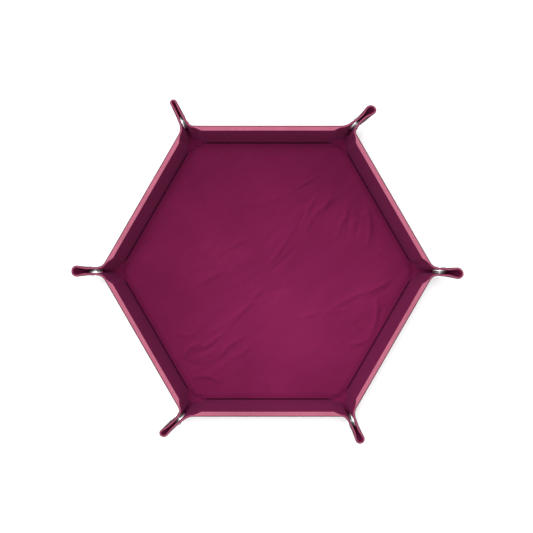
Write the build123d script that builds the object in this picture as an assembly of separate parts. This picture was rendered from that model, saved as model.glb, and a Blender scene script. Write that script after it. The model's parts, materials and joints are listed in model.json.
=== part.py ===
from build123d import *
from collections import namedtuple
import math
import os

# Folding hexagonal dice tray, millimetres.
# +Z is up, the tray stands on Z = 0 with its centre on the Z axis.
# Two opposite corners lie on +X and -X. The six walls stand up and the six
# corner ears are pinched shut by snap fasteners.
# Wall N has its outward direction at 30 + 60 * (N - 1) degrees, and corner N
# lies between wall N and wall N + 1, at 60 * N degrees. The ear of corner N has
# its cap flap on wall N and its stud flap on wall N + 1.

# Driving dimensions
SIDES = 6
FOLD_APOTHEM = 92.3        # centre to the fold line of a wall
WALL_LENGTH = 36.0         # fold line to rim, along the wall
WALL_ANGLE = 85.0          # wall slope from flat, in degrees
COVER_THICK = 0.9          # outer leather
BOARD_THICK = 1.8          # stiff board
LINING_THICK = 0.7         # inner lining
BASE_BOARD_APOTHEM = 86.0
WALL_BOARD_HALF = 43.0     # half length of a wall's board
EAR_LEANS = (12.0, 7.0, 0.0, 12.0, 7.0, 2.0)   # ears 1 to 6, towards their cap side, in degrees
EAR_PIVOT = 106.0          # an ear leans about an upright line this far from the centre
SNAP_GAP = 2.2             # between the two flaps of an ear
SNAP_REACH = 9.0           # ear's pivot to the snap's centre
SNAP_HEIGHT = 28.0         # snap centre above the table
SNAP_DIAMETER = 9.2        # socket and stud flanges
CAP_DIAMETER = 10.4
CAP_RISE = 1.2             # crown of the outer cap above the leather
POST_DIAMETER = 9.0
POST_RISE = 0.6
BARREL_DIAMETER = 2.4
STUD_DIAMETER = 3.2
STUD_REACH = 0.65          # stud past its own flange
SOCKET_BORE = 5.2
SNAP_PLATE = 0.3           # back plate of the socket

# Clearances
FOLD_GAP = 0.3             # wall edge to fold line
BASE_EDGE_GAP = 0.15       # base cover edge to fold line
EAR_GAP = 0.15             # spare room at an ear's fold line, besides what the bend needs
SNAP_SPLIT = 0.15          # socket or stud flange to the ear's middle plane
CURL_SPLIT = 0.45          # a flap's curled edge to the same plane
EAR_FOOT = 2.6             # height where an ear starts

# Layers, as heights in the flat stack
FLAP_THICK = COVER_THICK + LINING_THICK
FOLD_HEIGHT = FLAP_THICK / 2                      # fold lines lie in the middle of the flap
COVER_TOP = COVER_THICK
BOARD_TOP = COVER_TOP + BOARD_THICK
STACK_TOP = BOARD_TOP + LINING_THICK

# Flap layers, as distances from the middle plane of an ear
FLAP_SIDE = SNAP_GAP / 2 + FLAP_THICK / 2
FLAP_INNER = SNAP_GAP / 2
FLAP_OUTER = FLAP_INNER + FLAP_THICK

HALF_CORNER = 180.0 / SIDES                       # wall direction to corner direction
RIM_RISE = WALL_LENGTH * math.sin(math.radians(WALL_ANGLE))
RIM_HEIGHT = FOLD_HEIGHT + RIM_RISE

# One half of an ear. Points lie in the ear's middle plane: reach from the pivot, and height.
# foot and rim are the ends of the half's fold line, edge_foot and edge_rim the same ends as
# distances along the wall from its middle. tip_foot and tip_rim are where the corner's
# diagonal falls if the flap is straight. drop is the slope of its rim, and fold its turn
# from the wall's plane, in degrees.
Half = namedtuple("Half", "foot rim edge_foot edge_rim tip_foot tip_rim drop fold gap")


def polar(length, degrees):
    """Vector of this length at this angle from X."""
    return Vector(length * math.cos(math.radians(degrees)), length * math.sin(math.radians(degrees)))


def half_ear(turn):
    """Half an ear whose direction is turned this far from its wall's outward direction."""
    corner = polar(EAR_PIVOT, HALF_CORNER)
    step = polar(1, turn)

    def fold_point(along):
        wall = polar(along, WALL_ANGLE)
        reach = (FOLD_APOTHEM + wall.X - corner.X - FLAP_SIDE * step.Y) / step.X
        return Vector(reach, FOLD_HEIGHT + wall.Y), corner.Y + reach * step.Y - FLAP_SIDE * step.X

    foot, edge_foot = fold_point(0)
    rim, edge_rim = fold_point(WALL_LENGTH)
    on_wall = math.degrees(math.atan2(edge_rim - edge_foot, WALL_LENGTH))
    on_ear = math.degrees(math.atan2(rim.X - foot.X, rim.Y - foot.Y))
    drop = on_ear - on_wall
    diagonal = math.tan(math.radians(HALF_CORNER))
    tip_foot = foot + polar(FOLD_APOTHEM * diagonal - edge_foot, -drop)
    tip_rim = rim + polar((FOLD_APOTHEM + WALL_LENGTH) * diagonal - edge_rim, -drop)
    fold = math.degrees(math.acos(step.Y * math.sin(math.radians(WALL_ANGLE))))
    gap = EAR_GAP + FLAP_THICK / 2 * math.tan(math.radians(fold / 2))
    return Half(foot, rim, edge_foot, edge_rim, tip_foot, tip_rim, drop, fold, gap)


def cap_half(number):
    return half_ear(HALF_CORNER - EAR_LEANS[number - 1])


def stud_half(number):
    return half_ear(HALF_CORNER + EAR_LEANS[number - 1])


def hexagon(apothem, bottom, top):
    """Upright hexagonal plate."""
    outline = RegularPolygon(radius=apothem, side_count=SIDES, major_radius=False)
    return extrude(Pos(0, 0, bottom) * outline, top - bottom)


def hexagon_taper(bottom_apothem, bottom, top_apothem, top):
    """Hexagonal frustum."""
    lower = Pos(0, 0, bottom) * RegularPolygon(bottom_apothem, SIDES, major_radius=False)
    upper = Pos(0, 0, top) * RegularPolygon(top_apothem, SIDES, major_radius=False)
    return loft([lower.face(), upper.face()])


def base_cover():
    return hexagon(FOLD_APOTHEM - BASE_EDGE_GAP, 0, COVER_TOP)


def base_board():
    return hexagon(BASE_BOARD_APOTHEM, COVER_TOP, BOARD_TOP)


def base_lining():
    """Sheet over the board that slopes down to the cover in the fold groove."""
    skirt = FOLD_APOTHEM - 3.0
    ledge = COVER_TOP + LINING_THICK
    outside = hexagon(skirt, COVER_TOP, ledge)
    outside += hexagon_taper(skirt, ledge, BASE_BOARD_APOTHEM + LINING_THICK / 2, STACK_TOP)
    inside = hexagon_taper(skirt - LINING_THICK, COVER_TOP, BASE_BOARD_APOTHEM, BOARD_TOP)
    return outside - inside


def wall_outline(number, start):
    """Wall from start to the rim, between its two ear fold lines, in its own plane."""
    ends = {-1: cap_half(number), 1: stud_half((number - 2) % SIDES + 1)}
    corners = []
    for side, along in ((-1, start), (1, start), (1, WALL_LENGTH), (-1, WALL_LENGTH)):
        end = ends[side]
        edge = end.edge_foot + (end.edge_rim - end.edge_foot) * along / WALL_LENGTH
        corners.append((side * (edge - end.gap), along))
    return make_face(Polyline(corners, close=True))


def wall_layer(number, start, bottom, top):
    """Plate of the wall's outline, between two heights in the flat stack."""
    return extrude(Pos(0, 0, bottom - FOLD_HEIGHT) * wall_outline(number, start), top - bottom)


def wall_cover(number):
    return wall_layer(number, FOLD_GAP, 0, COVER_TOP)


def wall_board():
    start = FLAP_THICK
    length = WALL_LENGTH - LINING_THICK - start
    return Pos(0, start + length / 2, COVER_TOP - FOLD_HEIGHT) * Box(
        2 * WALL_BOARD_HALF, length, BOARD_THICK, align=(Align.CENTER, Align.CENTER, Align.MIN)
    )


def wall_lining(number):
    """Sheet over the board, wrapped over the rim and sloping down to both ends."""
    start = 1.0
    reach = WALL_BOARD_HALF + 10
    low = COVER_TOP - FOLD_HEIGHT
    ledge = low + LINING_THICK
    board_top = BOARD_TOP - FOLD_HEIGHT
    crown = STACK_TOP - FOLD_HEIGHT
    crown_half = WALL_BOARD_HALF + LINING_THICK / 2
    slope_end = WALL_BOARD_HALF + 3.6
    outer = [(-reach, low), (-reach, ledge), (-slope_end, ledge), (-crown_half, crown),
             (crown_half, crown), (slope_end, ledge), (reach, ledge), (reach, low)]
    inner = [(-slope_end + LINING_THICK, low), (-WALL_BOARD_HALF, board_top),
             (WALL_BOARD_HALF, board_top), (slope_end - LINING_THICK, low)]
    section = Plane.XZ.offset(-start)
    body = extrude(section * make_face(Polyline(outer, close=True)), -(WALL_LENGTH - start))
    hollow = extrude(
        section * make_face(Polyline(inner, close=True)), -(WALL_LENGTH - start - LINING_THICK)
    )
    shell = (body - hollow) & wall_layer(number, start, 0, STACK_TOP)
    rim_edge = shell.edges().filter_by(Axis.X).group_by(Axis.Y)[-1].group_by(Axis.Z)[-1]
    return fillet(rim_edge, 0.5)


def wall_place(number):
    """Frame of a standing wall: X clockwise along it, Y up it, Z into the tray."""
    turn = HALF_CORNER + 360 / SIDES * (number - 1)
    rise = polar(1, WALL_ANGLE)
    origin = polar(FOLD_APOTHEM, turn) + Vector(0, 0, FOLD_HEIGHT)
    inward = polar(-rise.Y, turn) + Vector(0, 0, rise.X)
    return Plane(origin=origin, x_dir=polar(1, turn - 90), z_dir=inward).location


def tip_line(number):
    """Point and direction of the line that both halves of an ear curl round to."""
    halves = (cap_half(number), stud_half(number))
    foot = (halves[0].tip_foot + halves[1].tip_foot) / 2
    rim = (halves[0].tip_rim + halves[1].tip_rim) / 2
    return foot, (rim - foot).normalized()


def ear_region(half):
    """Outline of half an ear in the middle plane, from its fold line outwards."""
    lean = (half.rim.X - half.foot.X) / RIM_RISE
    gap = half.gap * math.hypot(1, lean)
    slope = math.tan(math.radians(half.drop))
    beyond = half.rim.X + WALL_LENGTH
    corners = [
        (half.foot.X + (EAR_FOOT - FOLD_HEIGHT) * lean + gap, EAR_FOOT),
        (beyond, EAR_FOOT),
        (beyond, RIM_HEIGHT - (beyond - half.rim.X) * slope),
        (half.rim.X + gap, RIM_HEIGHT - gap * slope),
    ]
    return make_face(Polyline(corners, close=True))


def ear_flap(half, number):
    """Half of a corner ear: a flat flap whose outer edge curls in to the middle plane."""
    point, direction = tip_line(number)
    across = Vector(direction.Y, -direction.X)
    curl_length = FLAP_SIDE * math.pi / 2         # the curl uses this much of the sheet
    start = point - across * curl_length + direction * 2 * WALL_LENGTH
    section = Plane(origin=start, x_dir=across, z_dir=-direction)
    curl = Circle(FLAP_OUTER) - Circle(FLAP_INNER)
    curl &= Pos(0, CURL_SPLIT) * Rectangle(FLAP_OUTER, FLAP_OUTER, align=(Align.MIN, Align.MIN))
    strip = Pos(0, FLAP_SIDE) * Rectangle(
        2 * WALL_LENGTH, FLAP_THICK, align=(Align.MAX, Align.CENTER)
    )
    bar = extrude(section * (curl + strip), 3 * WALL_LENGTH)
    region = extrude(ear_region(half), FLAP_OUTER)
    return (bar & region) - snap_cylinder(BARREL_DIAMETER, 0, FLAP_OUTER)


def snap_cylinder(diameter, bottom, top):
    """Round solid on the snap's axis, between two distances from the ear's middle plane."""
    return Pos(SNAP_REACH, SNAP_HEIGHT, bottom) * Cylinder(
        diameter / 2, top - bottom, align=(Align.CENTER, Align.CENTER, Align.MIN)
    )


def snap_dome(diameter, rise, edge):
    """Domed disc on the snap's axis, lying on the cap flap."""
    radius = diameter / 2
    crown = ThreePointArc((0, rise), (radius * 0.6, rise - (rise - edge) * 0.3), (radius, edge))
    rest = Polyline([(radius, edge), (radius, 0), (0, 0), (0, rise)])
    half = Plane.XZ * make_face(Curve() + [crown, rest])
    return Pos(SNAP_REACH, SNAP_HEIGHT, FLAP_OUTER) * revolve(half, Axis.Z)


def round_rims(solid):
    """Circular edges of a solid, sorted outwards from the ear's middle plane."""
    return solid.edges().filter_by(GeomType.CIRCLE).group_by(Axis.Z)


def snap_cap():
    """Domed outer cap with the barrel that holds the socket."""
    barrel = snap_cylinder(BARREL_DIAMETER, FLAP_INNER - SNAP_PLATE, FLAP_OUTER)
    return snap_dome(CAP_DIAMETER, CAP_RISE, 0.5) + barrel


def snap_socket():
    """Ring that the stud presses into, with a groove for its spring."""
    body = snap_cylinder(SNAP_DIAMETER, SNAP_SPLIT, FLAP_INNER)
    body = fillet(round_rims(body)[0], 0.25)
    body -= snap_cylinder(SOCKET_BORE, 0, FLAP_INNER - SNAP_PLATE)
    groove = snap_cylinder(SOCKET_BORE + 1.7, 0, SNAP_SPLIT + 0.25)
    groove -= snap_cylinder(SOCKET_BORE + 0.8, 0, SNAP_SPLIT + 0.25)
    return body - groove - snap_cylinder(BARREL_DIAMETER, 0, FLAP_INNER)


def snap_stud():
    """Flange with the round-headed stud that reaches across the ear's middle plane."""
    flange = snap_cylinder(SNAP_DIAMETER, -FLAP_INNER, -SNAP_SPLIT)
    flange = fillet(round_rims(flange)[-1], 0.25)
    stud = snap_cylinder(STUD_DIAMETER, -SNAP_SPLIT, STUD_REACH - SNAP_SPLIT)
    stud = fillet(round_rims(stud)[-1], 0.5)
    return flange + stud - snap_cylinder(BARREL_DIAMETER, -FLAP_INNER, -SNAP_SPLIT)


def snap_post():
    """Low back cap with the barrel that holds the stud."""
    cap = mirror(snap_dome(POST_DIAMETER, POST_RISE, 0.3), Plane.XY)
    return cap + snap_cylinder(BARREL_DIAMETER, -FLAP_OUTER, -SNAP_SPLIT)


def ear_place(number):
    """Frame of an ear at its pivot: X outwards along it, Y up, Z towards its cap side."""
    turn = 360 / SIDES * number
    outward = turn - EAR_LEANS[number - 1]
    origin = polar(EAR_PIVOT, turn)
    return Plane(origin=origin, x_dir=polar(1, outward), z_dir=polar(1, outward - 90)).location


def save(node, solid):
    solid.label = node
    export_step(solid, f"parts/{node}.step")


os.makedirs("parts", exist_ok=True)

save("base_cover", base_cover())
save("base_board", base_board())
save("base_lining", base_lining())

snap_parts = {"cap": snap_cap(), "socket": snap_socket(), "stud": snap_stud(), "post": snap_post()}
for number in range(1, SIDES + 1):
    save(f"wall_{number}_cover", wall_place(number) * wall_cover(number))
    save(f"wall_{number}_board", wall_place(number) * wall_board())
    save(f"wall_{number}_lining", wall_place(number) * wall_lining(number))

    cap_flap = ear_flap(cap_half(number), number)
    stud_flap = mirror(ear_flap(stud_half(number), number), Plane.XY)
    save(f"ear_{number}_cap_flap", ear_place(number) * cap_flap)
    save(f"ear_{number}_stud_flap", ear_place(number) * stud_flap)
    for name, solid in snap_parts.items():
        save(f"snap_{number}_{name}", ear_place(number) * solid)
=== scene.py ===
import json
import math

import bmesh
import bpy
from mathutils import Euler, Matrix, Vector, noise


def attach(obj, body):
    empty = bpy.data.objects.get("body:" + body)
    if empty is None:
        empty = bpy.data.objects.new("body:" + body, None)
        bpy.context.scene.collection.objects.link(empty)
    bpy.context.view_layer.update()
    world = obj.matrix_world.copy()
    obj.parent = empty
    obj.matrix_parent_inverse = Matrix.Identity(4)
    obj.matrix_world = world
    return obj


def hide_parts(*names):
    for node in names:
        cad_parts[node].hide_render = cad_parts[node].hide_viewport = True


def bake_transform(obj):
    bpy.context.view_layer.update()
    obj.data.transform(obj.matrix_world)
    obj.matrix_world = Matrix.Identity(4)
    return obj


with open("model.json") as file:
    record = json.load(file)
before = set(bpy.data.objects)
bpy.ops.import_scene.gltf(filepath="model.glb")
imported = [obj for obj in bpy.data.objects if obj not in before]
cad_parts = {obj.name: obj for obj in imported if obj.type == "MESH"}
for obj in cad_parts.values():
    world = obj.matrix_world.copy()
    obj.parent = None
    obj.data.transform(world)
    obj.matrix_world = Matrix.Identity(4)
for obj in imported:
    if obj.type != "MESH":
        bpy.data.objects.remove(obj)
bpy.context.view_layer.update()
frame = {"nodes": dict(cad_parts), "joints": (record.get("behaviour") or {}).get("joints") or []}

# Folding hexagonal dice tray, in metres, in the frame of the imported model.
# Wall N has its outward direction at 30 + 60 * (N - 1) degrees, and corner N lies between
# wall N and wall N + 1, at 60 * N degrees. Each corner's ear has a cap half and a stud half.

joints = {joint["name"]: joint for joint in frame["joints"]}
MM = 0.001
UP = Vector((0, 0, 1))

# Driving dimensions
SIDES = 6
CORNER_SLOPE = math.tan(math.pi / SIDES)
FOLD = Vector(joints["wall_1_fold"]["pos_m"])
FOLD_APOTHEM = FOLD.xy.length
FOLD_HEIGHT = FOLD.z
WALL_ANGLE = math.radians(joints["wall_1_fold"]["range_deg"][1])
WALL_LENGTH = 36 * MM
LEATHER = 0.9 * MM
SKIN = 1.6 * MM             # leather and lining together
HALF_SKIN = SKIN / 2
WALL_INNER = 2.6 * MM       # wall's middle plane to its lining face, over the board
BOARD_TOP = 2.7 * MM
FLOOR_TOP = 3.4 * MM
BOARD_APOTHEM = 86 * MM
SKIRT_APOTHEM = 88.6 * MM   # where the base's sheets give way to the walls' sheets
SKIRT_HEIGHT = 2.75 * MM    # the lining there
GROOVE_HEIGHT = 2.6 * MM    # painted shade darkens the lining in the fold groove, up to here
BOARD_END = 43.1 * MM       # along a wall, where its board's thickness starts to taper off
TAPER_END = 48.2 * MM
SEAM = 48.3 * MM            # along a wall, where its sheets give way to the ears' sheets
TAB_APOTHEM = 93.0 * MM     # end of the base sheets' corner tabs
EDGE_ROUND = 0.33 * MM
PAINTED_EDGE = 0.60 * MM    # width of the dark bevel outside the rim

# Ears 1 to 6 at the rim, mm: width of the bulb and of the neck, reach past the plain fold at
# the tip, and bend there towards the cap side
EAR_BULBS = (7.3, 5.0, 7.6, 6.0, 6.5, 8.0)
EAR_NECKS = (4.5, 4.4, 5.4, 4.5, 4.6, 5.4)
EAR_REACHES = (1.2, 0.6, 0.4, 1.2, 0.6, 0.4)
EAR_BENDS = (1.8, -1.0, 0.0, 1.6, 0.0, 1.0)
PINCH_HEIGHT = 5.5 * MM     # the neck is drawn together over this much below the rim
FLARE_HEIGHT = 9 * MM       # and the bulb opens out over this much
BULB_LENGTH = 6.5 * MM      # before the rounded nose of the tip
EAR_LENGTH = 24 * MM        # from the hinges to the tip at the rim, about
TIP_SHORT = 0.48 * MM       # the tips stop this much short of the plain fold, at the fold's height
RIM_FALL = 0.05             # of an ear's rim, per unit of reach beyond its wall
EAR_WOBBLE = 0.35 * MM      # unevenness of the folded halves
CAVITY_SHADE = -0.9           # painted shade inside an ear, on its lining
CAVITY_REACH = 12 * MM      # it gets there gradually, over this much from the hinges

NAP_TURN = math.radians(-38)    # the lining's streaks run up to the right
SIDE_LIGHT_HEADING = 135                 # degrees: painted light and shade, the floor is brighter where it faces this way,
PAINTED_LIGHT_GAIN = 0.38                # by this much per unit of slope
SHARP_ANGLE = math.radians(48)  # edges with more than this aren't shaded smooth


# Materials

def new_material(name):
    material = bpy.data.materials.new(name)
    material.use_nodes = True
    shader = material.node_tree.nodes["Principled BSDF"]
    return material, material.node_tree, shader


def link(tree, source, target):
    tree.links.new(source, target)


def texture_place(tree, turn=0.0, stretch=(1, 1, 1)):
    """Object coordinates, turned about Z and then stretched."""
    coordinates = tree.nodes.new("ShaderNodeTexCoord")
    turned = tree.nodes.new("ShaderNodeMapping")
    turned.inputs["Rotation"].default_value = (0, 0, turn)
    stretched = tree.nodes.new("ShaderNodeMapping")
    stretched.inputs["Scale"].default_value = stretch
    link(tree, coordinates.outputs["Object"], turned.inputs["Vector"])
    link(tree, turned.outputs["Vector"], stretched.inputs["Vector"])
    return stretched.outputs["Vector"]


def noise_texture(tree, vector, scale, detail=3.0, roughness=0.5, distortion=0.0):
    node = tree.nodes.new("ShaderNodeTexNoise")
    node.inputs["Scale"].default_value = scale
    node.inputs["Detail"].default_value = detail
    node.inputs["Roughness"].default_value = roughness
    node.inputs["Distortion"].default_value = distortion
    link(tree, vector, node.inputs["Vector"])
    return node.outputs["Fac"]


def ramp(tree, factor, stops):
    node = tree.nodes.new("ShaderNodeValToRGB")
    elements = node.color_ramp.elements
    while len(elements) < len(stops):
        elements.new(0.5)
    for element, (position, colour) in zip(elements, stops):
        element.position = position
        element.color = (*colour, 1)
    link(tree, factor, node.inputs["Fac"])
    return node.outputs["Color"]


def multiply(tree, first, second):
    """Product of two colours."""
    node = tree.nodes.new("ShaderNodeMix")
    node.data_type = "RGBA"
    node.blend_type = "MULTIPLY"
    node.inputs[0].default_value = 1.0
    for socket, value in ((node.inputs[6], first), (node.inputs[7], second)):
        if isinstance(value, tuple):
            socket.default_value = (*value, 1)
        else:
            link(tree, value, socket)
    return node.outputs[2]


def add_bump(tree, shader, height, strength, distance):
    bump = tree.nodes.new("ShaderNodeBump")
    bump.inputs["Strength"].default_value = strength
    bump.inputs["Distance"].default_value = distance
    link(tree, height, bump.inputs["Height"])
    previous = shader.inputs["Normal"]
    if previous.is_linked:
        link(tree, previous.links[0].from_socket, bump.inputs["Normal"])
    link(tree, bump.outputs["Normal"], previous)


def map_range(tree, value, low, high):
    node = tree.nodes.new("ShaderNodeMapRange")
    node.clamp = False
    node.inputs["To Min"].default_value = low
    node.inputs["To Max"].default_value = high
    link(tree, value, node.inputs["Value"])
    return node.outputs["Result"]


def make_lining(name, shade=1.0):
    """Brushed microsuede: the nap lies in soft diagonal streaks, with a fine pile. A paler pool
    below the middle of the floor is painted light, the shade factor is painted shade, and the
    mesh's own point attribute paints light and shade: brighter above 0 and darker below."""
    material, tree, shader = new_material(name)
    along_nap = texture_place(tree, NAP_TURN, (7, 30, 14))
    streaks = noise_texture(tree, along_nap, 1.7, 5, 0.55, 0.8)
    clouds = noise_texture(tree, texture_place(tree), 22, 3, 0.5, 0.4)
    pile = noise_texture(tree, texture_place(tree), 2600, 2, 0.6)
    nap = ramp(tree, streaks, [(0.30, (0.116, 0.0068, 0.0405)),
                               (0.52, (0.122, 0.0074, 0.0428)),
                               (0.74, (0.130, 0.0080, 0.0458))])
    cloudy = ramp(tree, clouds, [(0.3, (0.90, 0.88, 0.90)), (0.7, (1.06, 1.08, 1.06))])
    fibres = ramp(tree, pile, [(0.3, (0.80, 0.78, 0.80)), (0.7, (1.18, 1.2, 1.18))])
    # Painted light and shade from the mesh's point attribute
    shade_attribute = tree.nodes.new("ShaderNodeAttribute")
    shade_attribute.attribute_name = "painted_light_and_shade"
    painted_light_factor = map_range(tree, shade_attribute.outputs["Fac"], 1.0, 1.0 + PAINTED_LIGHT_GAIN)
    colour = nap
    # Real tones, times a painted pool of light, painted shade and painted light and shade
    for factor in (cloudy, painted_light_pool(tree), (shade,) * 3, painted_light_factor, fibres):
        colour = multiply(tree, colour, factor)
    link(tree, colour, shader.inputs["Base Color"])
    shader.inputs["Roughness"].default_value = 0.85
    shader.inputs["Specular IOR Level"].default_value = 0.03
    shader.inputs["Sheen Weight"].default_value = 0.11 * shade
    shader.inputs["Sheen Roughness"].default_value = 0.45
    shader.inputs["Sheen Tint"].default_value = (1.0, 0.17, 0.54, 1)
    add_bump(tree, shader, streaks, 0.3, 0.8 * MM)
    add_bump(tree, shader, pile, 0.5, 0.12 * MM)
    return material


def painted_light_pool(tree):
    """Painted light: paler round a spot a little below the middle of the floor, darker away from
    it.
    """
    away = tree.nodes.new("ShaderNodeMapping")
    away.inputs["Location"].default_value = (-0.14, 0.44, 0)
    away.inputs["Scale"].default_value = (7.5, 7.5, 7.5)
    fade = tree.nodes.new("ShaderNodeTexGradient")
    fade.gradient_type = "SPHERICAL"
    link(tree, texture_place(tree), away.inputs["Vector"])
    link(tree, away.outputs["Vector"], fade.inputs["Vector"])
    return ramp(tree, fade.outputs["Fac"], [(0.0, (0.88, 0.86, 0.86)), (0.9, (1.18, 1.26, 1.20))])


def make_leather():
    """Smooth grained leatherette."""
    material, tree, shader = new_material("grained_leatherette")
    place = texture_place(tree)
    cells = tree.nodes.new("ShaderNodeTexVoronoi")
    cells.feature = "DISTANCE_TO_EDGE"
    cells.inputs["Scale"].default_value = 900
    link(tree, place, cells.inputs["Vector"])
    shades = noise_texture(tree, place, 45, 5, 0.6)
    colour = ramp(tree, shades, [(0.3, (0.040, 0.0036, 0.014)), (0.7, (0.066, 0.0064, 0.024))])
    link(tree, colour, shader.inputs["Base Color"])
    link(tree, map_range(tree, shades, 0.56, 0.72), shader.inputs["Roughness"])
    shader.inputs["Specular IOR Level"].default_value = 0.2
    grain = ramp(tree, cells.outputs["Distance"], [(0.0, (0, 0, 0)), (0.12, (1, 1, 1))])
    add_bump(tree, shader, grain, 0.35, 0.08 * MM)
    add_bump(tree, shader, shades, 0.4, 0.4 * MM)
    return material


def make_cut_edge(name, dark, light):
    """Raw edge of the sheet, with pale fibres."""
    material, tree, shader = new_material(name)
    fibres = noise_texture(tree, texture_place(tree), 1500, 4, 0.65)
    patches = noise_texture(tree, texture_place(tree), 60, 3, 0.5)
    pink = ramp(tree, fibres, [(0.3, dark), (0.7, light)])
    tint = ramp(tree, patches, [(0.3, (0.86, 0.84, 0.86)), (0.7, (1.0, 1.0, 1.0))])
    link(tree, multiply(tree, pink, tint), shader.inputs["Base Color"])
    shader.inputs["Roughness"].default_value = 0.9
    shader.inputs["Specular IOR Level"].default_value = 0.2
    add_bump(tree, shader, fibres, 0.6, 0.15 * MM)
    return material


def make_nickel(name, dark, light, roughness):
    """Plated metal: bright on caps, posts and studs; a darker copy on the sockets is painted
    shadow.
    """
    material, tree, shader = new_material(name)
    wear = noise_texture(tree, texture_place(tree), 500, 5, 0.65)
    colour = ramp(tree, wear, [(0.3, (dark,) * 3), (0.7, (light,) * 3)])
    link(tree, colour, shader.inputs["Base Color"])
    link(tree, map_range(tree, wear, roughness, roughness + 0.15), shader.inputs["Roughness"])
    shader.inputs["Metallic"].default_value = 1.0
    add_bump(tree, shader, wear, 0.15, 0.05 * MM)
    return material


def make_board():
    """Grey fibre board, seen only where the sheets end."""
    material, tree, shader = new_material("greyboard")
    fibres = noise_texture(tree, texture_place(tree), 900, 5, 0.7)
    colour = ramp(tree, fibres, [(0.3, (0.34, 0.30, 0.26)), (0.7, (0.50, 0.45, 0.39))])
    link(tree, colour, shader.inputs["Base Color"])
    shader.inputs["Roughness"].default_value = 0.95
    add_bump(tree, shader, fibres, 0.5, 0.1 * MM)
    return material


def make_table():
    """Pale table with faint, broad patches."""
    material, tree, shader = new_material("pale_table")
    shades = noise_texture(tree, texture_place(tree), 3, 2, 0.5)
    colour = ramp(tree, shades, [(0.3, (0.87, 0.87, 0.87)), (0.7, (0.89, 0.89, 0.89))])
    link(tree, colour, shader.inputs["Base Color"])
    shader.inputs["Roughness"].default_value = 0.9
    return material


lining = make_lining("microsuede_lining")
# Darker copy of the lining: painted shade for the fold groove
groove_shade_lining = make_lining("groove_shade_lining", 0.54)
leather = make_leather()
cut_edge = make_cut_edge("cut_edge", (0.25, 0.056, 0.098), (0.41, 0.118, 0.180))
ear_edge = make_cut_edge("ear_cut_edge", (0.17, 0.038, 0.068), (0.28, 0.066, 0.112))
edge_paint = make_cut_edge("edge_paint", (0.030, 0.0030, 0.010), (0.055, 0.0060, 0.020))
nickel = make_nickel("nickel_plate", 0.80, 0.92, 0.34)
# Darker copy of the nickel for the sockets: painted shadow
shade_painted_nickel = make_nickel("shade_painted_nickel", 0.10, 0.20, 0.40)
greyboard = make_board()


# Mesh helpers

def polar(degrees):
    return Vector((math.cos(math.radians(degrees)), math.sin(math.radians(degrees)), 0))


def smooth(value):
    value = min(max(value, 0.0), 1.0)
    return value * value * (3 - 2 * value)


def steps(start, end, count):
    """Values after the start, up to the end."""
    return [start + (end - start) * i / count for i in range(1, count + 1)]


def finish_mesh(name, mesh_data, materials):
    """Object of a bmesh, smooth except along its sharp edges."""
    bmesh.ops.remove_doubles(mesh_data, verts=mesh_data.verts, dist=1e-7)
    bmesh.ops.recalc_face_normals(mesh_data, faces=mesh_data.faces)
    for face in mesh_data.faces:
        face.smooth = True
    for edge in mesh_data.edges:
        if len(edge.link_faces) == 2 and edge.calc_face_angle() > SHARP_ANGLE:
            edge.smooth = False
    mesh = bpy.data.meshes.new(name)
    mesh_data.to_mesh(mesh)
    mesh_data.free()
    for material in materials:
        mesh.materials.append(material)
    piece = bpy.data.objects.new(name, mesh)
    bpy.context.scene.collection.objects.link(piece)
    return piece


def closed_sheet(name, front, back, materials, edge_rows=0, row_material=1):
    """Sheet between two grids of points. Its last row's edge is the rim, of material 1. The last
    edge_rows rows of the front grid next to it are of row_material."""
    mesh_data = bmesh.new()
    layers = [[[mesh_data.verts.new(point) for point in row] for row in grid]
              for grid in (front, back)]
    rows, columns = len(front), len(front[0])

    def quad(corners, material=0):
        mesh_data.faces.new(corners).material_index = material

    for grid in layers:
        for i in range(rows - 1):
            rim = grid is layers[0] and i >= rows - 1 - edge_rows
            for j in range(columns - 1):
                corners = grid[i][j], grid[i][j + 1], grid[i + 1][j + 1], grid[i + 1][j]
                quad(corners, rim * row_material)
    top, bottom = layers
    for j in range(columns - 1):
        quad((top[0][j], top[0][j + 1], bottom[0][j + 1], bottom[0][j]))
        quad((top[-1][j], top[-1][j + 1], bottom[-1][j + 1], bottom[-1][j]), 1)
    for i in range(rows - 1):
        for j in (0, columns - 1):
            quad((top[i][j], top[i + 1][j], bottom[i + 1][j], bottom[i][j]))
    return finish_mesh(name, mesh_data, materials)


# Base

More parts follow.
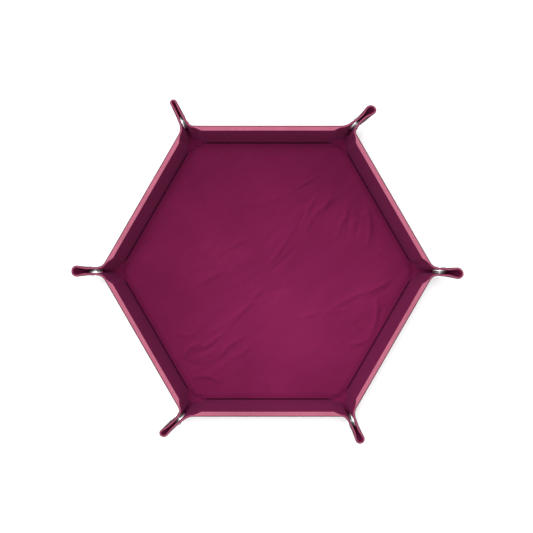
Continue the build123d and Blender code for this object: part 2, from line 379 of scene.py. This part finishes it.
# Creases of the floor's lining, mm: start, bend, end, width, height
CREASES = (
    ((20, 57), (29, 63), (37, 68), 0.9, 0.42),
    ((18, 54), (27, 60), (34, 62), 0.8, -0.30),
    ((-31, 50), (-24, 53), (-17, 54), 1.1, 0.26),
    ((-17, 45), (2, 48), (20, 57), 1.8, 0.24),
    ((-21, 45), (-12, 43), (-3, 43), 1.1, -0.26),
    ((-40, 44), (-32, 47), (-24, 46), 1.1, 0.24),
    ((-3, 1), (14, 17), (27, 47), 1.3, 0.55),
    ((0, -2), (11, 6), (20, 17), 1.0, -0.42),
    ((8, 12), (20, 28), (30, 58), 1.2, -0.40),
    ((26, 36), (29, 46), (36, 54), 0.9, 0.42),
    ((-52, -11), (-41, -6), (-28, 2), 1.4, 0.34),
    ((-26, 15), (-20, 20), (-12, 22), 1.1, 0.34),
    ((-36, 10), (-26, 16), (-16, 24), 1.2, 0.30),
    ((-59, 10), (-50, 14), (-40, 17), 1.6, 0.26),
    ((-56, -3), (-46, 0), (-34, 1), 1.2, -0.28),
    ((-33, -46), (-16, -25), (-3, -13), 1.4, 0.46),
    ((-26, -32), (-8, -14), (20, -11), 1.3, -0.36),
    ((-40, -44), (-26, -36), (-14, -20), 1.2, 0.34),
    ((25, 24), (34, 48), (55, 54), 1.2, 0.44),
    ((20, 26), (26, 42), (33, 59), 1.1, -0.38),
    ((34, 34), (42, 46), (46, 58), 1.1, 0.38),
    ((48, 22), (52, 38), (60, 47), 1.3, 0.50),
    ((55, 22), (58, 34), (57, 46), 1.0, -0.42),
    ((60, 22), (66, 34), (63, 45), 1.2, -0.50),
    ((69, 17), (74, 31), (68, 48), 1.3, 0.75),
    ((76, 12), (88, 7), (99, -7), 0.55, -0.75),
    ((77, 14), (89, 9.5), (100, -4), 0.9, 0.50),
    ((37, -32), (55, -17), (83, -9), 1.3, 0.42),
    ((66, -17), (78, -12), (88, -4), 0.9, 0.42),
    ((70, -20), (80, -16), (88, -9), 0.8, -0.36),
    ((69, -50), (79, -36), (75, -15), 1.2, 0.75),
    ((57, -50), (63, -52), (72, -47), 1.1, 0.50),
    ((23, -32), (30, -31), (37, -28), 1.2, 0.32),
    ((40, -30), (48, -27), (58, -28), 1.0, 0.28),
    ((-57, -64), (-60, -52), (-45, -51), 1.0, 0.62),
    ((-54, -75), (-42, -70), (-32, -78), 1.0, 0.75),
    ((-45, -69), (-38, -66), (-26, -58), 1.1, -0.70),
    ((-52, -57), (-44, -57), (-35, -52), 1.0, -0.50),
    ((-60, -60), (-50, -70), (-40, -64), 0.9, -0.55),
    ((-46, -54), (-36, -48), (-30, -42), 1.0, 0.50),
    ((-26, -62), (-17, -58), (-10, -50), 1.4, 0.40),
    ((-34, -60), (-27, -50), (-16, -46), 1.1, 0.42),
    ((-64, -44), (-56, -46), (-48, -42), 1.0, 0.40),
    ((-73, -27), (-62, -36), (-61, -50), 1.6, 0.36),
)
CREASE_SPREAD = 1.3         # factor on all widths
CREASE_LIFT = 1.4           # factor on all heights
DEEPEST = 0.5 * MM          # of a hollow in the floor, so that its board stays covered

# Puckered patches of the floor, mm: centre and radius
PUCKERS = (((-45, -60), 24), ((58, 38), 24), ((74, -36), 16), ((30, 50), 16), ((-20, 15), 30))
PUCKER_RISE = 0.42
# Long and fine streaks all over the floor, mm high
LONG_RISE = 0.12
FINE_RISE = 0.07


class Crease:
    """Ridge or hollow along a bent line of the floor."""
    parts = 10

    def __init__(self, start, bend, end, width, height):
        self.width, self.height = width * CREASE_SPREAD * MM, height * CREASE_LIFT * MM
        start, bend, end = (Vector(point) * MM for point in (start, bend, end))
        shares = [i / self.parts for i in range(self.parts + 1)]
        self.line = [start * (1 - t) ** 2 + bend * 2 * t * (1 - t) + end * t * t for t in shares]
        self.middle = self.line[self.parts // 2]
        self.reach = (start - end).length / 2 + 4 * self.width

    def rise(self, point):
        if (point - self.middle).length > self.reach:
            return 0.0
        nearest, place_on = 1.0, 0.0
        for i in range(self.parts):
            first, along = self.line[i], self.line[i + 1] - self.line[i]
            share = min(max((point - first).dot(along) / along.length_squared, 0), 1)
            distance = (point - first - along * share).length
            if distance < nearest:
                nearest, place_on = distance, (i + share) / self.parts
        faded = math.sin(math.pi * place_on) ** 0.7
        return self.height * math.exp(-((nearest / self.width) ** 2)) * faded


creases = [Crease(*values) for values in CREASES]


def ring_point(apothem, side, cell, cells):
    """Point on a hexagon of that apothem: cell 0 to cells along one side. The lines next to its
    corners meet the seam."""
    share = -1 + 2 * cell / cells
    inner_share = 1 - 2 / cells
    half = apothem * CORNER_SLOPE
    if 0 < cell < cells and half * inner_share > SEAM:
        share *= SEAM / (half * inner_share)
    outward = 30 + 60 * side
    return polar(outward) * apothem + polar(outward + 90) * share * half


def floor_wrinkles(point):
    """Streaks, puckers and creases, above or below the level lining."""
    flat = Vector((point.x, point.y))
    turned = Matrix.Rotation(NAP_TURN, 2) @ flat
    # Noise frequencies per metre, along and across the nap
    long_streaks = noise.noise(Vector((turned.x * 16, turned.y * 75, 0.3)))
    fine_streaks = noise.noise(Vector((turned.x * 50, turned.y * 190, 4.7)))
    height = (LONG_RISE * long_streaks + FINE_RISE * fine_streaks) * MM
    puckered = 0
    for centre, radius in PUCKERS:
        puckered += math.exp(-((flat - Vector(centre) * MM).length / (radius * MM)) ** 2)
    warp = 0.004 * noise.noise(Vector((flat.x * 40, flat.y * 40, 9.1)))
    pucker = noise.noise(Vector((turned.x * 55, (turned.y + warp) * 210, 2.2)))
    height += min(puckered, 1) * PUCKER_RISE * MM * pucker
    height += sum(crease.rise(flat) for crease in creases)
    return height if height > 0 else DEEPEST * math.tanh(height / DEEPEST)


def floor_height(point, apothem):
    """Top of the lining: over the board, down to the fold groove round it and to the tabs."""
    along = math.sqrt(max(point.xy.length_squared - apothem * apothem, 0))
    cornered = smooth((along - BOARD_END) / (SEAM - BOARD_END))
    edge = SKIRT_HEIGHT + (SKIN + 0.1 * MM - SKIRT_HEIGHT) * cornered
    drop = smooth((apothem - BOARD_APOTHEM + 0.6 * MM) / (SKIRT_APOTHEM - BOARD_APOTHEM + 0.6 * MM))
    quiet = smooth((BOARD_APOTHEM - apothem) / (4 * MM))
    edge_line = 0.10 * MM * math.exp(-((apothem - BOARD_APOTHEM + 1.4 * MM) / (0.7 * MM)) ** 2)
    return FLOOR_TOP + edge_line + floor_wrinkles(point) * quiet - drop * (FLOOR_TOP - edge)


SKIRT_RINGS = 6
TAB_RINGS = 3


def base_sheet(name, top, bottom, material, ring_count, cells):
    """Hexagonal sheet with a tab at each corner, between two height functions."""
    rings = [0.0] + steps(0.0, BOARD_APOTHEM, ring_count)
    rings += steps(BOARD_APOTHEM, SKIRT_APOTHEM, SKIRT_RINGS)
    skirt = len(rings) - 1
    rings += steps(SKIRT_APOTHEM, TAB_APOTHEM, TAB_RINGS)
    mesh_data = bmesh.new()

    def patch(side, ring_range, cell_range):
        for height in (top, bottom):
            grid = []
            for ring in ring_range:
                points = [ring_point(rings[ring], side, cell, cells) for cell in cell_range]
                points = [point + UP * height(point, rings[ring]) for point in points]
                grid.append([mesh_data.verts.new(point) for point in points])
            for low, high in zip(grid, grid[1:]):
                for j in range(len(cell_range) - 1):
                    mesh_data.faces.new((low[j], low[j + 1], high[j + 1], high[j]))

    for side in range(SIDES):
        patch(side, range(skirt + 1), range(cells + 1))
        patch(side, range(skirt, len(rings)), range(2))
        patch(side, range(skirt, len(rings)), range(cells - 1, cells + 1))
    bmesh.ops.dissolve_degenerate(mesh_data, edges=mesh_data.edges, dist=1e-6)
    bmesh.ops.remove_doubles(mesh_data, verts=mesh_data.verts, dist=1e-6)
    border = [edge for edge in mesh_data.edges if len(edge.link_faces) == 1]
    bmesh.ops.bridge_loops(mesh_data, edges=border)
    return finish_mesh(name, mesh_data, [material])


def flat_height(value):
    return lambda point, apothem: value


def under_lining(point, apothem):
    """Underside of the lining, which never sinks into the board or the leather."""
    resting = BOARD_TOP if apothem < BOARD_APOTHEM + 0.1 * MM else LEATHER
    return max(floor_height(point, apothem) - (SKIN - LEATHER), resting + 0.02 * MM)


base_lining = base_sheet("base_lining_sheet", floor_height, under_lining, lining,
                         ring_count=96, cells=80)
base_leather = base_sheet("base_leather_sheet", flat_height(LEATHER), flat_height(0.0), leather,
                          ring_count=24, cells=24)
for piece, node, slot in ((base_lining, "base_lining", "inner_lining"),
                          (base_leather, "base_cover", "outer_leather")):
    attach(piece, "base")
    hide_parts(node)

# Painted light and shade: how far the floor's top faces the side light, brighter towards it and
# darker away
painted_light_and_shade = base_lining.data.attributes.new("painted_light_and_shade", "FLOAT", "POINT")
for vertex in base_lining.data.vertices:
    apothem = max(vertex.co.dot(polar(30 + 60 * side)) for side in range(SIDES))
    if vertex.normal.z > 0.5 and apothem < BOARD_APOTHEM - 1.5 * MM:
        painted_light_and_shade.data[vertex.index].value = vertex.normal.dot(polar(SIDE_LIGHT_HEADING))


# Walls: a profile of points (distance from the tray's axis, height), swept along the wall

def on_wall(up, inward):
    """Profile point of a standing wall: up the wall, and from its middle plane into the tray."""
    return Vector((FOLD_APOTHEM + up * math.cos(WALL_ANGLE) - inward * math.sin(WALL_ANGLE),
                   FOLD_HEIGHT + up * math.sin(WALL_ANGLE) + inward * math.cos(WALL_ANGLE)))


def place(number, profile_point, along):
    """Profile point of a wall, that far along it, in the tray's frame."""
    outward = 30 + 60 * (number - 1)
    return polar(outward) * profile_point.x + polar(outward + 90) * along + UP * profile_point.y


WALL_ROWS = 20


def wall_ups(first):
    """Heights up a wall for its rows of points, from the first to just below the rim."""
    return [first] + steps(first, WALL_LENGTH - EDGE_ROUND, WALL_ROWS)


bend_up = (SKIN - FOLD_HEIGHT - HALF_SKIN * math.cos(WALL_ANGLE)) / math.sin(WALL_ANGLE)
bend_centre = on_wall(bend_up, HALF_SKIN)


def leather_profile(inward):
    """From under the base, round the fold and up to the rim."""
    radius = HALF_SKIN - inward
    level = SKIN - radius
    run = bend_centre.x - SKIRT_APOTHEM
    points = [Vector((SKIRT_APOTHEM + run * i / 3, level)) for i in range(3)]
    turn_steps = 8
    for i in range(turn_steps + 1):
        turn = -math.pi / 2 + WALL_ANGLE * i / turn_steps
        points.append(bend_centre + radius * Vector((math.cos(turn), math.sin(turn))))
    points += [on_wall(up, inward) for up in wall_ups(bend_up)[1:]]
    return points


def board_share(along):
    """1 over a wall's board, 0 where only the skin is left."""
    return smooth((TAPER_END - abs(along)) / (TAPER_END - BOARD_END))


def lining_profile(along, depth):
    """From the base's groove up to the rim, that deep in the lining. The groove is a tight crease
    beside the board, and opens out towards the ends of the wall."""
    share = board_share(along)
    cornered = smooth((abs(along) - BOARD_END) / (SEAM - BOARD_END))
    inner = HALF_SKIN + (WALL_INNER - HALF_SKIN) * share
    if depth:
        points = [Vector((x * MM, 0.93 * MM)) for x in (88.6, 89.4, 90.2, 90.9)]
    else:
        tight = [(88.6, 2.75), (88.84, 1.9), (89.2, 1.05), (89.65, 1.1)]
        loose = [(88.6, 1.70), (89.5, 1.65), (90.4, 1.62), (91.2, 1.75)]
        points = [Vector(a).lerp(Vector(b), cornered) * MM for a, b in zip(tight, loose)]
    face = inner - depth
    points.append(on_wall(1.1 * MM, face - 0.10 * MM))
    points.append(on_wall(1.7 * MM, face - 0.04 * MM))
    points += [on_wall(up, face) for up in wall_ups(2.4 * MM)]
    return points


def wall_ripple(number, along, up):
    """Faint lengthwise ripples of the lining on a wall."""
    fade = smooth(up / (5 * MM)) * smooth((WALL_LENGTH - up) / (4 * MM)) * board_share(along)
    wave = noise.noise(Vector((along * 18, up * 95, number * 3.1)))
    patch = noise.noise(Vector((along * 45, up * 60, number * 7.7)))
    return (0.16 * wave + 0.10 * patch) * MM * fade


def wall_columns():
    """Places along a wall, closer together where its board tapers off."""
    middle = [BOARD_END * (-1 + 2 * i / 56) for i in range(57)]
    end = steps(BOARD_END, SEAM, 12)
    return [-x for x in reversed(end)] + middle + end


def make_wall(number):
    columns = wall_columns()
    name = f"wall_{number}"

    outer, inner = leather_profile(-HALF_SKIN), leather_profile(LEATHER - HALF_SKIN)
    outer.append(on_wall(WALL_LENGTH, -HALF_SKIN + PAINTED_EDGE))
    inner.append(on_wall(WALL_LENGTH, LEATHER - HALF_SKIN))
    front = [[place(number, point, along) for along in columns] for point in outer]
    back = [[place(number, point, along) for along in columns] for point in inner]
    leather_piece = closed_sheet(f"{name}_leather_sheet", front, back,
                                 [leather, cut_edge, edge_paint], edge_rows=1, row_material=2)

    fronts, backs = [], []
    depth = SKIN - LEATHER
    middle = LEATHER - HALF_SKIN
    first_wall_row = 6                      # of the lining's profile, past its fold
    rounding = [(0.12, 0.06), (0.25, 0.25)] # of its rim, mm: up and outward
    shares = (0.35, 0.7, 1.0)               # across the rim
    for along in columns:
        inner_face = HALF_SKIN + (WALL_INNER - HALF_SKIN) * board_share(along)
        profile = lining_profile(along, 0)
        for i in range(first_wall_row, len(profile)):
            up = (profile[i].y - FOLD_HEIGHT) / math.sin(WALL_ANGLE)
            profile[i] = profile[i] + Vector((-1, 0)) * wall_ripple(number, along, up)
        profile += [on_wall(WALL_LENGTH - EDGE_ROUND + up * MM, inner_face - inward * MM)
                    for up, inward in rounding]
        edge_start = inner_face - EDGE_ROUND
        profile += [on_wall(WALL_LENGTH, edge_start + (middle - edge_start) * share)
                    for share in shares]
        under = lining_profile(along, depth)[:-1]
        under += [on_wall(WALL_LENGTH - depth, inner_face - depth)] * (1 + len(rounding))
        reach = inner_face - depth - middle
        under += [on_wall(WALL_LENGTH - depth, middle + reach * (1 - share)) for share in shares]
        fronts.append([place(number, point, along) for point in profile])
        backs.append([place(number, point, along) for point in under])
    front = [list(row) for row in zip(*fronts)]
    back = [list(row) for row in zip(*backs)]
    lining_piece = closed_sheet(f"{name}_lining_sheet", front, back,
                                [lining, cut_edge, groove_shade_lining], edge_rows=4)
    # The wall's lining in the fold groove gets the darker copy: painted shade
    for polygon in lining_piece.data.polygons:
        along = polygon.center.dot(polar(120 + 60 * (number - 1)))
        if polygon.center.z < GROOVE_HEIGHT and abs(along) < BOARD_END:
            polygon.material_index = 2

    for piece, node, slot in ((leather_piece, "cover", "outer_leather"),
                              (lining_piece, "lining", "inner_lining")):
        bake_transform(piece)
        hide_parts(f"{name}_{node}")


for number in range(1, SIDES + 1):
    make_wall(number)


# Ears

RIM = FOLD_HEIGHT + WALL_LENGTH * math.sin(WALL_ANGLE)


class EarHalf:
    """One half of a corner ear, made of level sections from its wall to the ear's tip."""

    seam_part = 3           # points between the seam and the bend into the ear
    bend_part = 10          # points round that bend
    body_part = 16          # points along the ear
    nose_part = 12          # points round its tip

    def __init__(self, number, kind):
        self.number = number
        self.side = 1 if kind == "cap" else -1
        self.kind = kind
        self.wall = number if kind == "cap" else number % SIDES + 1
        self.hinge, self.hinge_up = self.fold_line(kind)
        other, other_up = self.fold_line("stud" if kind == "cap" else "cap")
        self.foot = (self.hinge + other) / 2
        lean = self.hinge_up / self.hinge_up.z + other_up / other_up.z
        self.outward = Vector((lean.x, lean.y, 0)).normalized()
        self.across = Vector((self.outward.y, -self.outward.x, 0)) * self.side
        self.along = polar(30 + 60 * (self.wall - 1) + 90 * self.side)
        self.offset = (self.hinge - self.foot).dot(self.across)
        self.tip_slope, self.tip_start = self.tip_line()
        self.bend = EAR_BENDS[number - 1] * MM
        self.bulb = EAR_BULBS[number - 1] / 2 * MM - HALF_SKIN
        self.neck = EAR_NECKS[number - 1] / 2 * MM - HALF_SKIN

    def fold_line(self, kind):
        """A point of that half's hinge, and the hinge's upward direction."""
        joint = joints[f"ear_{self.number}_{kind}_fold"]
        up = Vector(joint["axis"])
        return Vector(joint["pos_m"]), up if up.z > 0 else -up

    def hinge_at(self, height):
        return self.hinge + self.hinge_up * (height - self.hinge.z) / self.hinge_up.z

    def tip_line(self):
        """Reach of the ear's outermost line, the same for both halves: slope with height, and
        value at the fold's height. It is the mean of what the two walls' sheets leave for it."""
        other_wall = self.number % SIDES + 1 if self.kind == "cap" else self.number
        other_along = polar(30 + 60 * (other_wall - 1) - 90 * self.side)
        other = self.fold_line("stud" if self.kind == "cap" else "cap")
        reaches = []
        for up in (0, WALL_LENGTH):
            height = FOLD_HEIGHT + up * math.sin(WALL_ANGLE)
            reach = 0
            own = self.hinge, self.hinge_up
            for (hinge, hinge_up), along in ((own, self.along), (other, other_along)):
                fold = hinge + hinge_up * (height - hinge.z) / hinge_up.z
                left = (FOLD_APOTHEM + up) * CORNER_SLOPE - fold.dot(along)
                reach += ((fold - self.foot).dot(self.outward) + left) / 2
            reaches.append(reach)
        extra = EAR_REACHES[self.number - 1] * MM
        slope = (reaches[1] - reaches[0] + extra) / (WALL_LENGTH * math.sin(WALL_ANGLE))
        return slope, reaches[0] - TIP_SHORT

    def tip_at(self, height):
        return self.tip_start + self.tip_slope * (height - FOLD_HEIGHT)

    def point(self, reach, aside, height):
        """Point of the ear, bent sideways towards its tip."""
        bend = self.bend * max(reach / EAR_LENGTH, 0) ** 2
        sideways = self.across * (aside + bend * self.side)
        return Vector((self.foot.x, self.foot.y, height)) + self.outward * reach + sideways

    def section(self, height):
        """Points and normals, from the seam with the wall to the tip, in the sheet's middle."""
        fold = self.hinge_at(height)
        fold_reach = (fold - self.foot).dot(self.outward)
        tip = self.tip_at(height) - HALF_SKIN
        to_seam = fold.dot(self.along) - SEAM
        tangent = min(to_seam - 0.3 * MM, 0.55 * (tip - fold_reach))
        points = []
        for i in range(self.seam_part):
            back = to_seam + (tangent - to_seam) * i / self.seam_part
            points.append(fold - self.along * back)
        turn = self.along.angle(self.outward)
        radius = tangent / math.tan(turn / 2)
        first = fold - self.along * tangent
        toward = (self.outward - self.along * self.along.dot(self.outward)).normalized()
        for i in range(self.bend_part):
            angle = turn * i / (self.bend_part - 1)
            ahead = self.along * radius * math.sin(angle)
            points.append(first + ahead + toward * radius * (1 - math.cos(angle)))
        start = fold_reach + tangent
        pinch = smooth((height - RIM + PINCH_HEIGHT) / PINCH_HEIGHT)
        neck = self.offset + (self.neck - self.offset) * pinch
        flare = max(1 - (RIM - height) / FLARE_HEIGHT, 0)
        wide = neck + (self.bulb - neck) * flare
        nose = min(wide, 0.9 * (tip - start))
        body = tip - nose - start
        for i in range(1, self.body_part + 1):
            share = i / self.body_part
            reach = start + body * share
            aside = self.offset + (neck - self.offset) * smooth(share * 3.5)
            into_bulb = smooth((reach - tip + nose + BULB_LENGTH) / BULB_LENGTH)
            aside += (wide - aside) * into_bulb * smooth(share * 3)
            points.append(self.point(reach, aside, height))
        for i in range(1, self.nose_part + 1):
            angle = math.pi / 2 * i / self.nose_part
            aside = wide * max(math.cos(angle), 0) ** 0.85 if i < self.nose_part else 0.0
            points.append(self.point(tip - nose + nose * math.sin(angle), aside, height))
        normals = []
        for i in range(len(points)):
            step = points[min(i + 1, len(points) - 1)] - points[max(i - 1, 0)]
            normals.append(Vector((-step.y, step.x, 0)).normalized() * self.side)
        normals[0] = normals[1]
        normals[-1] = -self.outward
        return points, normals

    def drop_at(self, point, height):
        """How much lower the rim is at this point than at the wall."""
        return max((point - self.hinge_at(height)).dot(self.outward), 0) * RIM_FALL


def paint_cavity_shade(piece, half):
    """Painted shade: the lining is darker from the snap to the ear's tip."""
    shade_attribute = piece.data.attributes.new("painted_light_and_shade", "FLOAT", "POINT")
    for vertex in piece.data.vertices:
        reach = (vertex.co - half.foot).dot(half.outward)
        shade_attribute.data[vertex.index].value = CAVITY_SHADE * smooth(reach / CAVITY_REACH)


def make_ear_half(number, kind):
    half = EarHalf(number, kind)
    low = SKIN + 0.1 * MM
    rows = 26
    heights = [low] + steps(low, RIM - EDGE_ROUND, rows)
    grids = {offset: [] for offset in (-HALF_SKIN, LEATHER - HALF_SKIN, HALF_SKIN)}
    slant = 1 / math.sin(WALL_ANGLE)

    def add_row(height, squeeze):
        points, normals = half.section(height)
        for offset, grid in grids.items():
            row = []
            for index, (point, normal) in enumerate(zip(points, normals)):
                # None at the wall, none at the tip, where the two halves meet
                wobble = EAR_WOBBLE * noise.noise(point * 70 + Vector((0, 0, number)))
                wobble = wobble * smooth((index - 6) / 6) * smooth((len(points) - 1 - index) / 5)
                shift = (offset - math.copysign(squeeze, offset)) * slant + wobble
                share = (height - low) / (RIM - low)
                level = height - half.drop_at(point, height) * share
                row.append(Vector((point.x, point.y, level)) + normal * shift)
            grid.append(row)

    for height in heights:
        add_row(height, 0)
    add_row(RIM, EDGE_ROUND)
    leather_grids = grids[-HALF_SKIN], grids[LEATHER - HALF_SKIN]
    lining_grids = grids[HALF_SKIN], grids[LEATHER - HALF_SKIN]
    name = f"ear_{number}_{kind}"
    leather_piece = closed_sheet(f"{name}_leather_sheet", *leather_grids,
                                 [leather, ear_edge, edge_paint], edge_rows=1, row_material=2)
    lining_piece = closed_sheet(f"{name}_lining_sheet", *lining_grids, [lining, ear_edge])
    # Painted shade in the ear's cavity
    paint_cavity_shade(lining_piece, half)
    direction = (half.along + half.outward).normalized()
    direction -= half.hinge_up * direction.dot(half.hinge_up)
    direction.normalize()
    for piece, slot in ((leather_piece, "ear_leather"), (lining_piece, "inner_lining")):
        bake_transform(piece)
    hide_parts(f"{name}_flap")


for number in range(1, SIDES + 1):
    make_ear_half(number, "cap")
    make_ear_half(number, "stud")


# CAD pieces that stay: boards and snap fasteners

for name, node in frame["nodes"].items():
    if name.endswith("_board"):
        node.data.materials.clear()
        node.data.materials.append(greyboard)
    if name.startswith("snap_"):
        node.data.materials.clear()
        # Sockets get the darker copy: painted shadow
        node.data.materials.append(shade_painted_nickel if name.endswith("_socket") else nickel)


# Table, light and camera

TABLE_HALF = 3.0            # half the width of the table
TABLE_GAP = 0.2 * MM        # below the tray
table_corners = [(-TABLE_HALF, -TABLE_HALF, 0), (TABLE_HALF, -TABLE_HALF, 0),
                 (TABLE_HALF, TABLE_HALF, 0), (-TABLE_HALF, TABLE_HALF, 0)]
table_mesh = bpy.data.meshes.new("table")
table_mesh.from_pydata(table_corners, [], [(0, 1, 2, 3)])
table_mesh.materials.append(make_table())
table = bpy.data.objects.new("table", table_mesh)
table.location.z = -TABLE_GAP
bpy.context.scene.collection.objects.link(table)


def add_area_light(name, place_at, size, power):
    data = bpy.data.lights.new(name, "AREA")
    data.size = size
    data.energy = power
    light = bpy.data.objects.new(name, data)
    light.location = place_at
    light.rotation_euler = (-Vector(place_at)).to_track_quat("-Z", "Y").to_euler()
    bpy.context.scene.collection.objects.link(light)


add_area_light("softbox", (-0.12, 0.20, 1.7), 1.0, 31)
add_area_light("side_light", (-0.85, 0.85, 0.50), 0.4, 2.2)
world = bpy.data.worlds.new("studio")
bpy.context.scene.world = world
world.use_nodes = True
world.node_tree.nodes["Background"].inputs["Color"].default_value = (1.0, 0.99, 0.985, 1)
world.node_tree.nodes["Background"].inputs["Strength"].default_value = 0.84
bpy.context.scene.view_settings.view_transform = "Standard"

camera_data = bpy.data.cameras.new("camera")
camera_data.sensor_width = 36
camera_data.lens = 62.7
camera = bpy.data.objects.new("camera", camera_data)
camera.location = (-0.7 * MM, 3.1 * MM, 0.650)
camera.rotation_euler = Euler((0, 0, 0))
bpy.context.scene.collection.objects.link(camera)
bpy.context.scene.camera = camera

bpy.context.view_layer.update()
